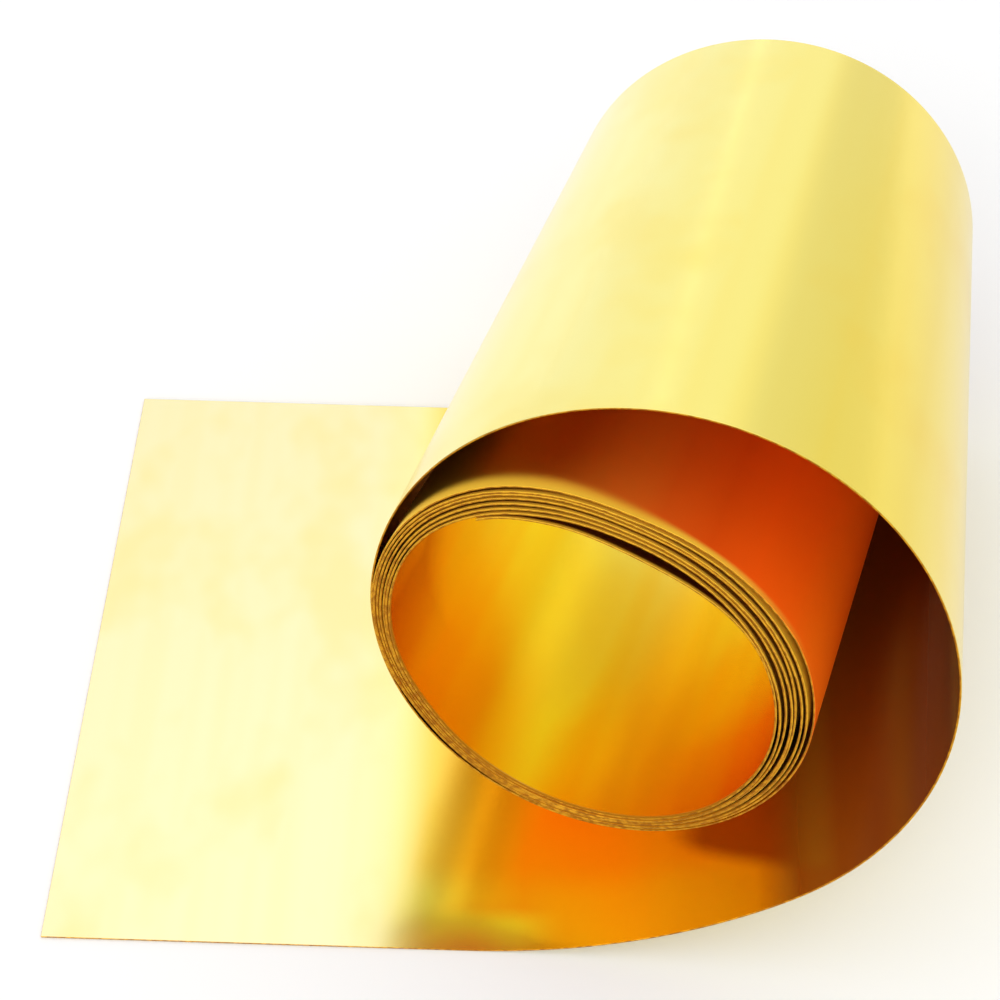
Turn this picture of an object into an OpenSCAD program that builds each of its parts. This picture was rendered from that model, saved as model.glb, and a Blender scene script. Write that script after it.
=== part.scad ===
// Roll of brass strip lying on its side, with its outer end unrolled flat on the floor.
// Millimetres. The origin is the middle of the flat end's underside. The strip
// runs along +X from its cut end, the near edge is at -Y and +Z is up.

/* [Strip] */
// Width of the strip
strip_w = 200; // [120:1:300]
// Thickness of the strip
strip_t = 0.5; // [0.3:0.1:1]

/* [Flat end] */
// Length that lies flat, from the cut end to the line where the strip lifts
flat_len = 163.5; // [120:0.5:240]

/* [Loose turn bend] */
// Bend radius beyond the tight turns' own, where the strip leaves the floor
lift_slack = 32; // [26:0.5:48]
// The same where the strip has turned up by 10 degrees
ramp_slack = 30.5; // [24:0.5:46]
// The same where it has turned up by 25 degrees
bend_slack = 36; // [27:0.5:50]
// The same where it has turned up by 50 degrees
rise_slack = 22.5; // [16:0.5:32]
// The same where it stands upright beside the tight turns
side_slack = 18; // [13:0.5:25]
// The same where it leans over them
over_slack = 13.5; // [10:0.5:19]
// The same where it comes down behind them
back_slack = 15.5; // [11:0.5:22]
// The same where it passes under them again
close_slack = 8; // [5:0.5:12]
// Angle that the loose turn bends through before it lies on the tight turns
loose_angle = 479; // [470:1:490]

/* [Loose turn lean] */
// How far ahead of the near edge the far edge lifts off the floor
lift_skew = 101; // [75:0.5:105]
// How far the far edge leads where the strip has turned up by 15 degrees
ramp_skew = 70; // [60:0.5:85]
// The same where it has turned up by 35 degrees
rise_skew = 28; // [20:0.5:40]
// The same where it has turned up by 60 degrees
side_skew = 28.5; // [20:0.5:40]
// The same where it leans over the tight turns
over_skew = 7; // [3:0.5:12]
// How far the near edge leads where the strip comes down behind them
back_skew = 11.5; // [6:0.5:18]

/* [Tight turns] */
// Number of tight turns
turn_count = 8; // [3:1:14]
// Distance from one tight turn to the next
turn_pitch = 1.1; // [0.9:0.05:1.5]
// Radius of the bore
bore_r = 45.3; // [30:0.1:60]
// Depth of the gaps that show between the turns on each end
gap_depth = 1.5; // [0.5:0.1:4]
// How far each turn's edge stands out beyond the turn around it
turn_stagger = 0.15; // [0:0.05:0.4]

/* [Hidden] */

brass = [0.93, 0.79, 0.36];
$fn = 180;

// Outside radius of the tight turns
coil_r = bore_r + strip_t + (turn_count - 1) * turn_pitch;

// Headings, in degrees of bend, at which the named slacks hold
ramp_heading = 10;
bend_heading = 25;
rise_heading = 50;
side_heading = 90;
over_heading = 150;
back_heading = 220;
close_heading = 275;
// The same for the named skews
ramp_skew_heading = 15;
rise_skew_heading = 35;
side_skew_heading = 60;
over_skew_heading = 160;
back_skew_heading = 265;
heading_step = 6;

// The loose turn comes down on the tight turns from this height, over this angle
landing_gap = 0.7;
landing_angle = 24;
landing_step = 4;
// How deep the loose turn's inner end sinks into the tight turns to join them
landing_depth = 0.3;
// The tight turns' edges stand out this far beyond the loose turn's edge
edge_clear = 0.1;

// Bend radius of the strip's outer face at a heading
function bend_r(a) = coil_r + strip_t + lookup(a, [
    [0, lift_slack],
    [ramp_heading, ramp_slack],
    [bend_heading, bend_slack],
    [rise_heading, rise_slack],
    [side_heading, side_slack],
    [over_heading, over_slack],
    [back_heading, back_slack],
    [close_heading, close_slack],
    [loose_angle, landing_gap]
]);

// Lean of the straight line across the strip: along the strip for each unit across
function lean(a) = lookup(a, [
    [0, -lift_skew],
    [ramp_skew_heading, -ramp_skew],
    [rise_skew_heading, -rise_skew],
    [side_skew_heading, -side_skew],
    [over_skew_heading, -over_skew],
    [back_skew_heading, back_skew],
    [loose_angle, 0]
]) / strip_w;

// A vector turned by an angle about a unit axis
function turned(v, axis, a) =
    v * cos(a) + cross(axis, v) * sin(a) + axis * (axis * v) * (1 - cos(a));

// A frame is [centre, along, inward, across], on the underside of the strip
function next_frame(f, a, step) =
    let (mid = a + step / 2,
         tilt = lean(mid),
         axis = (f[3] + tilt * f[1]) / norm([1, tilt]),
         swing = step * norm([1, tilt]),
         chord = 2 * bend_r(mid) * sin(step / 2))
    [f[0] + chord * turned(f[1], axis, swing / 2),
     turned(f[1], axis, swing),
     turned(f[2], axis, swing),
     turned(f[3], axis, swing)];

loose_steps = ceil(loose_angle / heading_step);
loose_step = loose_angle / loose_steps;
lift_frame = [[flat_len / 2, 0, 0], [1, 0, 0], [0, 0, 1], [0, -1, 0]];
loose_frames = [for (i = 0, f = lift_frame; i <= loose_steps;
                     f = next_frame(f, i * loose_step, loose_step), i = i + 1) f];

// Place of the tight turns, from the end of the loose turn
landing = loose_frames[loose_steps];
coil_centre = landing[0] + (coil_r + strip_t + landing_gap) * landing[2];
coil_along = landing[1];
coil_inward = landing[2];
coil_across = landing[3];

// The four corners of the strip's section on a line that leans across it
function section(centre, along, inward, across, tilt) =
    let (half = (across + tilt * along) * strip_w / 2)
    [centre + half, centre - half,
     centre - half + strip_t * inward, centre + half + strip_t * inward];

function landing_section(a) =
    let (drop = (landing_gap + strip_t + landing_depth) * a / landing_angle,
         outward = coil_along * sin(a) - coil_inward * cos(a),
         r = coil_r + strip_t + landing_gap - drop)
    section(coil_centre + r * outward, coil_along, -outward, coil_across, 0);

cut_section = section([-flat_len / 2, 0, 0], [1, 0, 0], [0, 0, 1], [0, -1, 0], 0);

// The unrolled strip as one closed skin through its sections
module sheet() {
    sections = concat(
        [cut_section],
        [for (i = [0:loose_steps])
            let (f = loose_frames[i])
            section(f[0], f[1], f[2], f[3], lean(i * loose_step))],
        [for (a = [landing_step:landing_step:landing_angle]) landing_section(a)]
    );
    last = len(sections) - 1;
    sides = [
        for (i = [0:last - 1]) for (k = [0:3])
        let (a = 4 * i + k, b = 4 * i + (k + 1) % 4, c = b + 4, d = a + 4)
        for (face = [[c, b, a], [d, c, a]]) face
    ];
    ends = [[1, 2, 3], [0, 1, 3],
            [4 * last + 2, 4 * last + 1, 4 * last], [4 * last + 3, 4 * last + 2, 4 * last]];
    polyhedron([for (s = sections) for (p = s) p], concat(sides, ends), convexity = 6);
}

// Half of the tight turns' section, from the middle out to one end, with its gaps
function end_points() = [
    for (i = [0:turn_count - 1])
    let (outer = coil_r - i * turn_pitch,
         top = strip_w / 2 + edge_clear + i * turn_stagger,
         gap_mid = outer - strip_t - (turn_pitch - strip_t) / 2)
    for (p = i < turn_count - 1
        ? [[outer, top], [outer - strip_t, top], [gap_mid, top - gap_depth]]
        : [[outer, top], [outer - strip_t, top]]) p
];

// The tight turns as one turned solid, with the turns showing on both ends
module tight_turns() {
    upper = end_points();
    lower = [for (i = [len(upper) - 1:-1:0]) [upper[i][0], -upper[i][1]]];
    multmatrix([
        [coil_along[0], -coil_inward[0], -coil_across[0], coil_centre[0]],
        [coil_along[1], -coil_inward[1], -coil_across[1], coil_centre[1]],
        [coil_along[2], -coil_inward[2], -coil_across[2], coil_centre[2]],
        [0, 0, 0, 1]
    ])
    rotate_extrude() polygon(concat(upper, lower));
}

module strip() {
    color(brass) union() {
        sheet();
        tight_turns();
    }
}

strip();
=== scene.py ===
# Roll of brass strip on its side, with its outer end unrolled flat on the floor.
# Metres, in the part's own frame: the strip runs along +X from its cut end, the
# near edge is at -Y and +Z is up.
import math

import bpy
from mathutils import Matrix, Vector, noise


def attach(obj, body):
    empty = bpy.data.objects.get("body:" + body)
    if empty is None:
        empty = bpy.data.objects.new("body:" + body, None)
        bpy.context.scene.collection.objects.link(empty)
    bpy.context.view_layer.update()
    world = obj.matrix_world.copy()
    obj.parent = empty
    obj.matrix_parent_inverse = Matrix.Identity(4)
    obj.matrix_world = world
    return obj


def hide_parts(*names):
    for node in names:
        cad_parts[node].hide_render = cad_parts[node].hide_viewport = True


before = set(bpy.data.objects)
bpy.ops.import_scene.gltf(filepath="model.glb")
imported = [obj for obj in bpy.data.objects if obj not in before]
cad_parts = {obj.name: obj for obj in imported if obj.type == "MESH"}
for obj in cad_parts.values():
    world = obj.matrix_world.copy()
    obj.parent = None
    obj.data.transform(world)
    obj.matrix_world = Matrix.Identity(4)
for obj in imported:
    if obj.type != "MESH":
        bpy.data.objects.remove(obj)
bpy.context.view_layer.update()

# The strip, as in the part
STRIP_W = 0.200
STRIP_T = 0.0005
FLAT_LEN = 0.1635
# Bend radius beyond the tight turns' own, by heading in degrees
SLACK = [
    (0, 0.032), (10, 0.0305), (25, 0.036), (50, 0.0225),
    (90, 0.018), (150, 0.0135), (220, 0.0155), (275, 0.008),
]
LOOSE_ANGLE = 479
LANDING_GAP = 0.0007
# How far the near edge leads along the strip, by heading; below zero the far edge leads
SKEW = [(0, -0.101), (15, -0.070), (35, -0.028), (60, -0.0285), (160, -0.007), (265, 0.0115)]
TURN_PITCH = 0.0011
BORE_R = 0.0453
TURN_COUNT = 8
COIL_R = BORE_R + STRIP_T + (TURN_COUNT - 1) * TURN_PITCH

# How finely the strip is divided: the flat end in all, the turns in degrees
FLAT_STEPS = 24
LOOSE_STEP = 1.5
TIGHT_STEP = 3.0
ACROSS_STEPS = 10

# The tight turns: angle that they turn through. Radii of the outermost and of the bore at the
# far edge and the near edge, where they swell towards the side that the loose turn touches
TIGHT_ANGLE = 7 * 360 + 95
FAR_OUTER = [(0, 0.0541), (180, 0.0537)]
FAR_BORE = [(0, 0.0452), (40, 0.0448), (130, 0.0470), (220, 0.0480), (310, 0.0455)]
NEAR_OUTER = [
    (0, 0.0537), (30, 0.0536), (50, 0.0540), (62, 0.0556), (76, 0.0582), (90, 0.0602),
    (105, 0.0610), (120, 0.0607), (135, 0.0597), (150, 0.0584), (166, 0.0564), (182, 0.0545),
    (200, 0.0538), (240, 0.0537), (270, 0.0536), (300, 0.0540), (330, 0.0541),
]
NEAR_BORE = [
    (0, 0.0441), (31, 0.0439), (54, 0.0453), (76, 0.0487), (93, 0.0520), (113, 0.0543),
    (136, 0.0537), (159, 0.0517), (180, 0.0494), (200, 0.0489), (240, 0.0490), (270, 0.0487),
    (301, 0.0467), (330, 0.0449),
]
# The bore's radius is reached this many degrees before the inner end
BORE_FROM_END = 180
# Degrees over which the tight turns come off the loose turn's end
TAKE_OFF = 45
# Neighbouring turns close up and stand apart from this angle on, in full this many degrees
# later, in waves of about these degrees. The noise is raised by the gain and then held within
# this share of the room between neighbours
UNEVEN_FROM = 330
UNEVEN_GROWTH = 120
UNEVEN_WAVE = 80
UNEVEN_GAIN = 1.3
UNEVEN_LIMIT = 0.5
# The innermost turn stands away from its neighbour over these degrees before its end
CRESCENT_ANGLE = 100
CRESCENT_DEPTH = 0.0024
# The strip's edge wanders sideways by these amounts, in waves of about these degrees, and each
# turn's near edge stands a little further out than the one around it
SLOW_WANDER, SLOW_WAVE = 0.0005, 260
QUICK_WANDER, QUICK_WAVE = 0.00022, 31
TURN_STAGGER = 0.00012

# Rounding of the slit edges
EDGE_ROUND = 0.00008

# Tones of brass along the strip: length from the cut end, then red, green, blue and, in the
# fourth place, the roughness there. The inner face lies upward on the flat end. Besides the
# brass's own gold, the stops hold painted light and shade, and the flat end's pale tone is a
# painted highlight
PAINTED_HIGHLIGHT_BRASS = (0.97, 0.89, 0.52, 0.20)
GOLD_BRASS = (1, 0.80, 0.14, 0.20)
# Inner face: painted highlight on the flat end, yellow and orange painted reflections of the turns
# where it nears the bend, dark painted shade on the loose turn's inner face, and golden and orange
# painted reflections in the bore
INNER_TONES_AND_PAINTED_LIGHT = [
    (0.085, PAINTED_HIGHLIGHT_BRASS), (0.105, (1, 0.93, 0.22, 0.18)), (0.117, (1, 0.60, 0.06, 0.18)),
    (0.128, (1, 0.47, 0.04, 0.18)), (0.15, (1, 0.66, 0.05, 0.18)), (0.168, (1, 0.95, 0.07, 0.18)),
    (0.192, (1, 1, 0.07, 0.18)), (0.205, (0.42, 0.17, 0.012, 0.18)),
    (0.222, (0.30, 0.065, 0.004, 0.18)), (0.27, (0.24, 0.03, 0.001, 0.18)), (0.286, GOLD_BRASS),
    (0.455, GOLD_BRASS), (0.475, (0.3, 0.12, 0.02, 0.2)), (0.56, (0.3, 0.12, 0.02, 0.2)),
    (0.6, GOLD_BRASS), (2.69, GOLD_BRASS), (2.735, (0.58, 0.14, 0.03, 0.2)),
    (2.785, (0.95, 0.52, 0.05, 0.2)), (2.82, (1, 0.68, 0.06, 0.2)), (2.832, (1, 0.86, 0.1, 0.2)),
    (2.856, (1, 1, 0.3, 0.2)), (2.866, (1, 1, 0.25, 0.2)), (2.877, (1, 0.78, 0.1, 0.2)),
    (2.92, (1, 0.74, 0.1, 0.2)), (3.0, (1, 0.4, 0.04, 0.2)),
]
# Outer face: a painted streak and highlight on the loose turn, orange painted glow where the coil's
# outer face lies inside the loose turn, and deeper orange painted shade between the tight turns and
# at the inner end
OUTER_TONES_AND_PAINTED_LIGHT = [
    (0.0, (0.94, 0.79, 0.22, 0.2)), (0.30, (0.88, 0.70, 0.12, 0.2)),
    (0.335, (0.84, 0.66, 0.09, 0.2)), (0.36, (0.96, 0.77, 0.12, 0.2)),
    (0.39, (0.99, 0.87, 0.24, 0.2)), (0.43, (0.98, 0.90, 0.36, 0.2)),
    (0.5, (1, 0.84, 0.28, 0.2)), (0.56, (1, 0.8, 0.14, 0.2)), (0.65, (1, 0.8, 0.14, 0.2)),
    (0.675, (1, 0.16, 0.003, 0.45)), (0.71, (1, 0.16, 0.003, 0.45)),
    (0.725, (1, 0.12, 0.003, 0.45)), (0.737, (0.98, 0.105, 0.003, 0.45)),
    (0.747, (0.8, 0.085, 0.003, 0.45)), (0.756, (0.76, 0.085, 0.004, 0.42)),
    (0.769, (1, 0.20, 0.015, 0.38)), (0.8, (0.9, 0.55, 0.05, 0.3)), (1.0, (0.85, 0.42, 0.05, 0.3)),
    (1.3, (0.9, 0.6, 0.1, 0.3)), (2.95, (0.9, 0.6, 0.1, 0.3)), (2.99, (0.6, 0.22, 0.02, 0.3)),
]
# Length of strip that the whole of a tone ramp stands for
TONE_LEN = 3.3

# Ranges below are lengths from the cut end where something begins, is full, fades and ends.
# Across the strip, the middle is 0 and the near edge is 0.1.
# Painted reflection of the turns: the flat end is deeper in tone away from its near edge, where it
# nears the bend
DEEP_REFLECTION_TINT = (1, 0.78, 0.5, 1)
DEEP_REFLECTION_ALONG = (0.092, 0.104, 0.19, 0.21)
DEEP_REFLECTION_ACROSS = (0.072, 0.086)
# and has a painted yellow reflection along its near edge
NEAR_EDGE_REFLECTION = (1, 0.97, 0.2, 1)
NEAR_REFLECTION_ALONG = (0.1, 0.106, 0.122, 0.142)
NEAR_REFLECTION_ACROSS = (0.086, 0.093)
# Where the tight turns begin to hide it, the brass is dark beyond a slanting line
SHADED = (0.40, 0.19, 0.012, 1)
SHADE_ALONG = (0.166, 0.18, 0.205, 0.22)
SHADE_SLANT = 1.8
SHADE_LINE = (0.038, 0.052)
# The painted golden reflection in the bore is narrow at the mouth and spreads along the strip
# deeper in
BORE_MIDDLE = 2.847
BORE_BEGINS = (2.70, 2.74)
MOUTH_ACROSS = 0.0766
SPREAD_AT_MOUTH = 0.5
SPREAD_AT_MIDDLE = 1.94

# Marks of the rolling: streaks and cloudy patches, as length and width, and their tint
WHITE = (1, 1, 1, 1)
STREAK_SIZE = (0.011, 1.2)
CLOUD_SIZE = (0.05, 0.07)
CLOUD_STRENGTH = 0.6
MARK_TINT = (1, 0.91, 0.6, 1)
# The tight turns' faces are dull along their edges and painted with the look of the gaps between
# turns: brown painted shade on the inner faces, golden painted glow on the outer faces. This band
# begins so far from the strip's middle and is full just short of its edge. Along the strip it
# begins with the tight turns, takes the face's own width, and is narrow from the second tight
# turn on
PAINTED_GAP_SHADE = (0.68, 0.33, 0.018, 1)
PAINTED_GAP_GLOW = (0.96, 0.60, 0.05, 1)
GAP_BAND_BEGINS = (0.70, 0.76)
GAP_BAND_CHANGES = (0.745, 0.785)
GAP_BAND_NARROWS = (1.05, 1.15)
GAP_BAND_AT_FIRST = 0.0975
GAP_BAND_NARROW = 0.0988
GAP_BAND_FULL = 0.0996
GAP_BAND_ROUGHNESS = 0.35
GAP_BAND_DULLNESS = 0.45
# The slit edges are browner, with fine marks
EDGE_GOLD = (0.66, 0.31, 0.018, 1)
EDGE_BROWN = (0.38, 0.14, 0.01, 1)
EDGE_MARKS = 600.0

# Light levels of the studio's walls and of the lamp overhead, which begins and is full at these
# degrees up
WALL_LIGHT = 0.99
LAMP_LIGHT = 1.16
LAMP_RISE = (40, 60)
# Parts of the walls with a light of their own, as a share of the walls' light. Each begins, is
# full, fades and ends at these degrees round, from +Y towards +X, and at these degrees up
FROM_BELOW = (-92, -91)
SEAM = -10  # degrees round are counted from here, where no part begins or ends
WALL_PARTS = [
    ((18, 26, 30, 62), (*FROM_BELOW, 25, 45), 0.85),  # dim panel at the back
    ((165, 195, 220, 238), (-4, 8, 35, 60), 2.9),  # bright panel at the front
    ((-0.22, -0.15, -0.06, 0.06), (-4, 8, 35, 60), 2.9),  # bright thin strip at the back
    ((55, 75, 140, 170), (*FROM_BELOW, 50, 75), 0.75),  # dimmer wall on the right
    ((235, 250, 320, 340), (*FROM_BELOW, 14, 46), 0.5),  # dark corner on the left
]
# Light reaches the gaps between the turns and the bore after many reflections only
BOUNCES = 32

FLOOR_SIZE = 40
FLOOR_DROP = 0.0002
FLOOR_COLOUR = (0.95, 0.95, 0.95, 1)

# Camera at the photograph's viewing angle, turned and tilted by these radians
CAMERA_PLACE = (0.042255, -0.382198, 0.504084)
CAMERA_YAW = -0.01262
CAMERA_PITCH = -0.84998
CAMERA_ROLL = 0.02046
CAMERA_LENS = 76.151
CAMERA_SENSOR = 36


def lookup(heading, table):
    """Value at a heading, straight between the table's own."""
    if heading <= table[0][0]:
        return table[0][1]
    for (a, va), (b, vb) in zip(table, table[1:]):
        if heading <= b:
            return va + (vb - va) * (heading - a) / (b - a)
    return table[-1][1]


def bend_radius(heading):
    return COIL_R + STRIP_T + lookup(heading, SLACK + [(LOOSE_ANGLE, LANDING_GAP)])


def lean(heading):
    return lookup(heading, SKEW + [(LOOSE_ANGLE, 0.0)]) / STRIP_W


def ruling(length, centre, along, across, tilt):
    """One straight line across the strip, from the far edge to the near edge."""
    half = (across + tilt * along) * STRIP_W / 2
    return {"length": length, "tilt": tilt, "far": centre - half, "near": centre + half}


def roll_strip():
    """Lines across the strip over the flat end, the loose turn and the tight turns."""
    along, inward, across = Vector((1, 0, 0)), Vector((0, 0, 1)), Vector((0, -1, 0))
    rulings = []
    for i in range(FLAT_STEPS + 1):
        part = i / FLAT_STEPS
        length = FLAT_LEN * part
        centre = Vector((length - FLAT_LEN / 2, 0, 0))
        rulings.append(ruling(length, centre, along, across, lean(0) * part))
    steps = round(LOOSE_ANGLE / LOOSE_STEP)
    step = LOOSE_ANGLE / steps
    for i in range(steps):
        heading = (i + 0.5) * step
        tilt = lean(heading)
        axis = (across + tilt * along).normalized()
        swing = math.radians(step) * math.sqrt(1 + tilt * tilt)
        chord = 2 * bend_radius(heading) * math.sin(math.radians(step) / 2)
        centre = centre + chord * (Matrix.Rotation(swing / 2, 3, axis) @ along)
        turn = Matrix.Rotation(swing, 3, axis)
        along, inward, across = turn @ along, turn @ inward, turn @ across
        length += bend_radius(heading) * math.radians(step)
        rulings.append(ruling(length, centre, along, across, lean((i + 1) * step)))
    coil_centre = centre + (COIL_R + STRIP_T + LANDING_GAP) * inward
    for i in range(1, round(TIGHT_ANGLE / TIGHT_STEP) + 1):
        angle = i * TIGHT_STEP
        near_r = tight_radius(angle, NEAR_OUTER, NEAR_BORE)
        far_r = tight_radius(angle, FAR_OUTER, FAR_BORE)
        a = math.radians(angle)
        outward = along * math.sin(a) - inward * math.cos(a)
        middle = coil_centre + edge_shift(angle) * across
        length += (near_r + far_r) / 2 * math.radians(TIGHT_STEP)
        rulings.append({
            "length": length,
            "tilt": 0.0,
            "far": middle + far_r * outward - across * STRIP_W / 2,
            "near": middle + near_r * outward + across * STRIP_W / 2,
        })
    return rulings


def round_table(angle, table):
    """Smooth value at an angle from a table that goes once round."""
    angle %= 360
    i = max(k for k in range(len(table)) if table[k][0] <= angle)
    points = []
    for k in range(i - 1, i + 3):
        turns = -1 if k < 0 else k // len(table)
        a, value = table[k % len(table)]
        points.append((a + 360 * turns, value))
    (a0, v0), (a1, v1), (a2, v2), (a3, v3) = points
    t = (angle - a1) / (a2 - a1)
    slope1 = (v2 - v0) / (a2 - a0) * (a2 - a1)
    slope2 = (v3 - v1) / (a3 - a1) * (a2 - a1)
    return (
        v1 * (1 + 2 * t) * (1 - t) ** 2 + slope1 * t * (1 - t) ** 2
        + v2 * (3 - 2 * t) * t * t - slope2 * (1 - t) * t * t
    )


def waves(angle, wave, place):
    """Smooth noise along the tight turns, from its own place in the noise."""
    return noise.noise(Vector((angle / wave, *place)))


def tight_radius(angle, outer, bore):
    """Radius of the strip's outer face in the tight turns, after an angle of travel."""
    top = round_table(angle, outer)
    band = top - round_table(angle, bore) - STRIP_T
    r = top - band * angle / (TIGHT_ANGLE - BORE_FROM_END)
    loose_end = COIL_R + STRIP_T + LANDING_GAP
    r += (loose_end - outer[0][1]) * max(0.0, 1 - angle / TAKE_OFF) ** 2
    room = max(0.0, band / (TURN_COUNT - 1) - STRIP_T)
    uneven = UNEVEN_GAIN * waves(angle, UNEVEN_WAVE, (0.4, 6.2))
    uneven = max(-UNEVEN_LIMIT, min(UNEVEN_LIMIT, uneven))
    r += min(1.0, max(0.0, angle - UNEVEN_FROM) / UNEVEN_GROWTH) * room * uneven
    before_end = (TIGHT_ANGLE - angle) / CRESCENT_ANGLE
    if 0 < before_end < 1:
        r -= CRESCENT_DEPTH * math.sin(math.pi * before_end) ** 2
    return r


def edge_shift(angle):
    """How far the strip has wandered sideways in the tight turns."""
    slow = SLOW_WANDER * waves(angle, SLOW_WAVE, (3.1, 0.7))
    quick = QUICK_WANDER * waves(angle, QUICK_WAVE, (8.3, 2.9))
    return min(1.0, angle / 360) * (slow + quick) + TURN_STAGGER * angle / 360


def make_strip():
    """The strip as one sheet with a wall. Its UV map holds the length from the cut end and the
    place across, in metres."""
    rulings = roll_strip()
    last = len(rulings) - 1
    bpy.ops.object.select_all(action="DESELECT")
    bpy.ops.mesh.primitive_grid_add(
        x_subdivisions=last, y_subdivisions=ACROSS_STEPS, size=1, calc_uvs=True
    )
    strip = bpy.context.object
    strip.name = "brass_strip"
    mesh = strip.data
    places = {}
    for v in mesh.vertices:
        column = rulings[round((v.co.x + 0.5) * last)]
        part = v.co.y + 0.5
        across = (0.5 - part) * STRIP_W
        places[v.index] = (column["length"] + column["tilt"] * across, across)
        v.co = column["near"].lerp(column["far"], part)
    layer = mesh.uv_layers.active.data
    for loop in mesh.loops:
        layer[loop.index].uv = places[loop.vertex_index]
    mesh.update()
    for finish in (inner_face(), outer_face(), slit_edge()):
        mesh.materials.append(finish)
    bpy.ops.object.modifier_add(type="SOLIDIFY")
    wall = strip.modifiers[-1]
    wall.thickness = STRIP_T
    wall.offset = 1
    wall.material_offset = 1
    wall.material_offset_rim = 2
    bpy.ops.object.modifier_apply(modifier=wall.name)
    bpy.ops.object.modifier_add(type="BEVEL")
    edge = strip.modifiers[-1]
    edge.width = EDGE_ROUND
    edge.segments = 1
    edge.limit_method = "ANGLE"
    edge.angle_limit = math.radians(60)
    bpy.ops.object.modifier_apply(modifier=edge.name)
    bpy.ops.object.shade_smooth_by_angle(angle=math.radians(30))
    return strip


def node(tree, kind, **sockets):
    """A node of one kind, with numbers for its sockets or links from other nodes' outputs. A
    socket goes by its name with underscores for spaces, or by an underscore and its number."""
    made = tree.nodes.new(kind)
    for name, value in sockets.items():
        socket = made.inputs[int(name[1:]) if name[0] == "_" else name.replace("_", " ")]
        if isinstance(value, bpy.types.NodeSocket):
            tree.links.new(value, socket)
        else:
            socket.default_value = value
    return made


def maths(tree, operation, a, b=0.0, c=0.0):
    made = node(tree, "ShaderNodeMath", _0=a, _1=b, _2=c)
    made.operation = operation
    return made.outputs[0]


def times(tree, a, b):
    return maths(tree, "MULTIPLY", a, b)


def ramp(tree, value, low, high, start=0.0, end=1.0, kind="SMOOTHSTEP"):
    """Change from start to end while a value goes from low to high."""
    made = node(tree, "ShaderNodeMapRange", _0=value, _1=low, _2=high, _3=start, _4=end)
    made.interpolation_type = kind
    return made.outputs[0]


def within(tree, value, begins, full, fades, ends):
    """One from full to fades, nothing before begins and after ends, soft between."""
    return times(tree, ramp(tree, value, begins, full), ramp(tree, value, fades, ends, 1.0, 0.0))


def blend(tree, part, a, b, how="MIX"):
    made = node(tree, "ShaderNodeMix")
    made.data_type = "RGBA"
    made.blend_type = how
    for number, value in ((0, part), (6, a), (7, b)):
        if isinstance(value, bpy.types.NodeSocket):
            tree.links.new(value, made.inputs[number])
        else:
            made.inputs[number].default_value = value
    return made.outputs[2]


def marks_of_rolling(tree, along, across, size, detail, rough=0.5):
    """Noise on the strip's own surface, with marks of about this length and width."""
    place = node(
        tree,
        "ShaderNodeCombineXYZ",
        X=times(tree, along, 1 / size[0]),
        Y=times(tree, across, 1 / size[1]),
    ).outputs[0]
    made = node(tree, "ShaderNodeTexNoise", Vector=place, Scale=1.0, Detail=detail, Roughness=rough)
    return made.outputs[0]


def tone_along(tree, along, stops):
    """Colour and roughness that change along the strip, through stops of (length, tone)."""
    made = node(tree, "ShaderNodeValToRGB", Fac=maths(tree, "DIVIDE", along, TONE_LEN))
    elements = made.color_ramp.elements
    while len(elements) < len(stops):
        elements.new(0.5)
    for element, (length, tone) in zip(elements, stops):
        element.position = length / TONE_LEN
        element.color = tone
    return made.outputs[0], made.outputs[1]


def spread_in_bore(tree, along, across):
    """Length to look the tone up at: drawn towards the bore's middle, more so further in."""
    spread = ramp(
        tree, across, 0.0, MOUTH_ACROSS, SPREAD_AT_MIDDLE, SPREAD_AT_MOUTH, kind="LINEAR"
    )
    away = maths(tree, "SUBTRACT", along, BORE_MIDDLE)
    change = maths(tree, "SUBTRACT", maths(tree, "DIVIDE", away, spread), away)
    return maths(tree, "ADD", along, times(tree, change, ramp(tree, along, *BORE_BEGINS)))


def shade_flat_end(tree, tone, along, across):
    """Tone of the inner face with the painted reflections (deeper and yellower parts) and the
    painted dark shade of the flat end.
    """
    deep_reflection = times(
        tree, ramp(tree, across, *DEEP_REFLECTION_ACROSS, 1.0, 0.0), within(tree, along, *DEEP_REFLECTION_ALONG)
    )
    tone = blend(tree, 1.0, tone, blend(tree, deep_reflection, WHITE, DEEP_REFLECTION_TINT), how="MULTIPLY")
    # Painted yellow reflection along the near edge
    near = times(
        tree, ramp(tree, across, *NEAR_REFLECTION_ACROSS), within(tree, along, *NEAR_REFLECTION_ALONG)
    )
    tone = blend(tree, near, tone, NEAR_EDGE_REFLECTION)
    slanted = maths(tree, "SUBTRACT", along, times(tree, across, SHADE_SLANT))
    shade = times(tree, ramp(tree, slanted, *SHADE_LINE), within(tree, along, *SHADE_ALONG))
    return blend(tree, shade, tone, SHADED)


def new_material(name):
    material = bpy.data.materials.new(name)
    material.use_nodes = True
    material.node_tree.nodes.clear()
    return material, material.node_tree


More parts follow.
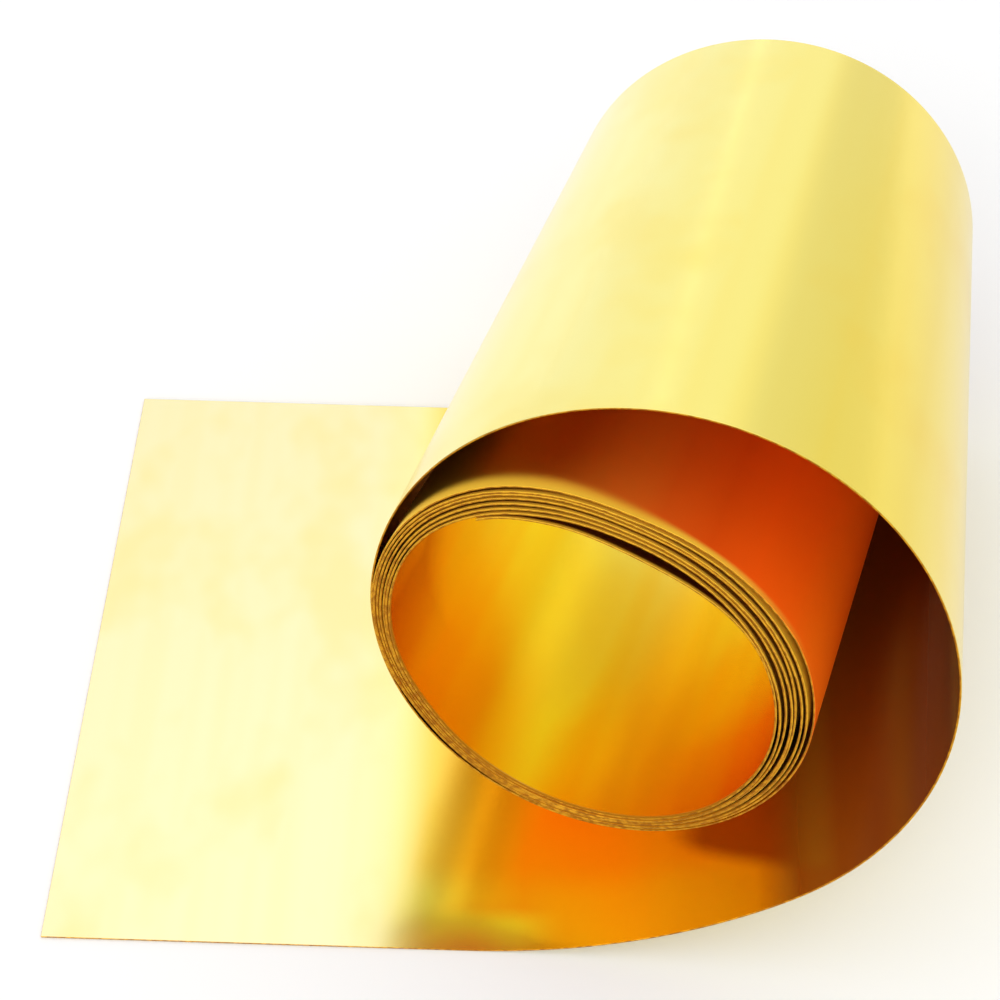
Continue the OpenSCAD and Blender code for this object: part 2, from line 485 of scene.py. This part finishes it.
def rolled_brass(name, tones, streak_parts, shut_in, dullness, gap_band_from, gap_band_tone, shading=None):
    """Bright rolled brass: tones along the strip with painted highlights, reflections and shade,
    cloudy patches, faint streaks across it, a band of painted gap shade and glow along the edges
    of the tight turns, and a dull part shut in between turns."""
    finish, tree = new_material(name)
    place = node(tree, "ShaderNodeSeparateXYZ", Vector=node(tree, "ShaderNodeUVMap").outputs[0])
    along, across = place.outputs[0], place.outputs[1]
    streaks = marks_of_rolling(tree, along, across, STREAK_SIZE, detail=1.0)
    cloud = marks_of_rolling(tree, along, across, CLOUD_SIZE, detail=3.0, rough=0.6)

    tone, rough = tone_along(tree, spread_in_bore(tree, along, across), tones)
    if shading:
        tone = shading(tree, tone, along, across)
    patches = times(tree, ramp(tree, cloud, 0.45, 0.7), CLOUD_STRENGTH)
    lines = times(tree, ramp(tree, streaks, 0.4, 0.68), ramp(tree, along, *streak_parts))
    tint = blend(tree, maths(tree, "MAXIMUM", patches, lines), WHITE, MARK_TINT)
    tone = blend(tree, 1.0, tone, tint, how="MULTIPLY")
    rough = maths(tree, "ADD", rough, ramp(tree, cloud, 0.35, 0.7, -0.01, 0.03))

    # Painted gap shade and glow along the edges of the tight turns, dull and rough
    wide = ramp(tree, along, *GAP_BAND_CHANGES, GAP_BAND_AT_FIRST, gap_band_from)
    begin = ramp(tree, along, *GAP_BAND_NARROWS, wide, GAP_BAND_NARROW)
    edge = ramp(tree, maths(tree, "ABSOLUTE", across), begin, GAP_BAND_FULL)
    gap_band = times(tree, edge, ramp(tree, along, *GAP_BAND_BEGINS))
    tone = blend(tree, gap_band, tone, gap_band_tone)
    rough = maths(tree, "ADD", rough, times(tree, gap_band, GAP_BAND_ROUGHNESS))

    dull = times(tree, within(tree, along, *shut_in), dullness)
    dull = maths(tree, "MAXIMUM", times(tree, gap_band, GAP_BAND_DULLNESS), dull)
    shader = node(
        tree,
        "ShaderNodeBsdfPrincipled",
        Base_Color=tone,
        Metallic=maths(tree, "SUBTRACT", 1.0, dull),
        Roughness=rough,
        Specular_IOR_Level=0.1,
    )
    node(tree, "ShaderNodeOutputMaterial", Surface=shader.outputs[0])
    return finish


def outer_face():
    """Faint streaks up to the tight turns, and a wide band of painted golden glow along the edges
    of the first of those.
    """
    return rolled_brass(
        "brass_outer_face",
        OUTER_TONES_AND_PAINTED_LIGHT,
        streak_parts=(0.5, 0.7, 0.25, 0.0),
        shut_in=(0.65, 0.675, 0.74, 0.79),
        dullness=0.9,
        gap_band_from=0.0935,
        gap_band_tone=PAINTED_GAP_GLOW,
    )


def inner_face():
    """Streaks that grow towards the bore, where they show most."""
    return rolled_brass(
        "brass_inner_face",
        INNER_TONES_AND_PAINTED_LIGHT,
        streak_parts=(1.0, 2.6, 0.15, 1.0),
        shut_in=(0.195, 0.22, 0.262, 0.285),
        dullness=0.6,
        gap_band_from=GAP_BAND_NARROW,
        gap_band_tone=PAINTED_GAP_SHADE,
        shading=shade_flat_end,
    )


def slit_edge():
    """The cut edges: duller and browner than the faces, with fine marks."""
    finish, tree = new_material("brass_slit_edge")
    place = node(tree, "ShaderNodeTexCoord").outputs["Object"]
    marks = node(tree, "ShaderNodeTexNoise", Vector=place, Scale=EDGE_MARKS, Detail=3.0).outputs[0]
    shader = node(
        tree,
        "ShaderNodeBsdfPrincipled",
        Base_Color=blend(tree, ramp(tree, marks, 0.35, 0.65), EDGE_GOLD, EDGE_BROWN),
        Metallic=1.0,
        Roughness=ramp(tree, marks, 0.3, 0.7, 0.3, 0.5),
    )
    node(tree, "ShaderNodeOutputMaterial", Surface=shader.outputs[0])
    return finish


def make_floor():
    bpy.ops.mesh.primitive_plane_add(size=FLOOR_SIZE, location=(0, 0, -FLOOR_DROP))
    floor = bpy.context.object
    floor.name = "floor"
    paper = bpy.data.materials.new("pale_floor")
    paper.use_nodes = True
    shader = paper.node_tree.nodes["Principled BSDF"]
    shader.inputs["Base Color"].default_value = FLOOR_COLOUR
    shader.inputs["Roughness"].default_value = 0.9
    shader.inputs["Specular IOR Level"].default_value = 0.0
    floor.data.materials.append(paper)


def make_studio():
    """Soft light from all round: a large lamp overhead and plain walls, with a few dimmer and
    brighter parts that the curved brass shows as soft bands."""
    world = bpy.data.worlds.new("studio")
    bpy.context.scene.world = world
    world.use_nodes = True
    tree = world.node_tree
    tree.nodes.clear()
    way = node(tree, "ShaderNodeTexCoord").outputs["Generated"]
    way = node(tree, "ShaderNodeSeparateXYZ", Vector=way)
    turn = times(tree, maths(tree, "ARCTAN2", way.outputs[0], way.outputs[1]), 180 / math.pi)
    turn = maths(tree, "WRAP", turn, SEAM + 360, SEAM)
    rise = times(tree, maths(tree, "ARCSINE", way.outputs[2]), 180 / math.pi)
    level = ramp(tree, rise, *LAMP_RISE, WALL_LIGHT, LAMP_LIGHT)
    for round_range, rise_range, light in WALL_PARTS:
        part = times(tree, within(tree, turn, *round_range), within(tree, rise, *rise_range))
        level = times(tree, level, ramp(tree, part, 0.0, 1.0, 1.0, light))
    back = node(tree, "ShaderNodeBackground", Color=WHITE, Strength=level)
    node(tree, "ShaderNodeOutputWorld", Surface=back.outputs[0])


def make_camera():
    data = bpy.data.cameras.new("camera")
    camera = bpy.data.objects.new("camera", data)
    bpy.context.scene.collection.objects.link(camera)
    heading = Vector((math.sin(CAMERA_YAW), math.cos(CAMERA_YAW), 0))
    right = Vector((heading.y, -heading.x, 0))
    forward = heading * math.cos(CAMERA_PITCH) + Vector((0, 0, math.sin(CAMERA_PITCH)))
    up = right.cross(forward)
    side = math.cos(CAMERA_ROLL) * right + math.sin(CAMERA_ROLL) * up
    top = -math.sin(CAMERA_ROLL) * right + math.cos(CAMERA_ROLL) * up
    turn = Matrix((side, top, -forward)).transposed()
    camera.matrix_world = Matrix.Translation(CAMERA_PLACE) @ turn.to_4x4()
    data.lens = CAMERA_LENS
    data.sensor_width = CAMERA_SENSOR
    bpy.context.scene.camera = camera


make_camera()
make_floor()
make_studio()
strip = make_strip()
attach(strip, "root")
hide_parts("strip")

scene = bpy.context.scene
scene.view_settings.view_transform = "Standard"
scene.cycles.max_bounces = BOUNCES
scene.cycles.glossy_bounces = BOUNCES
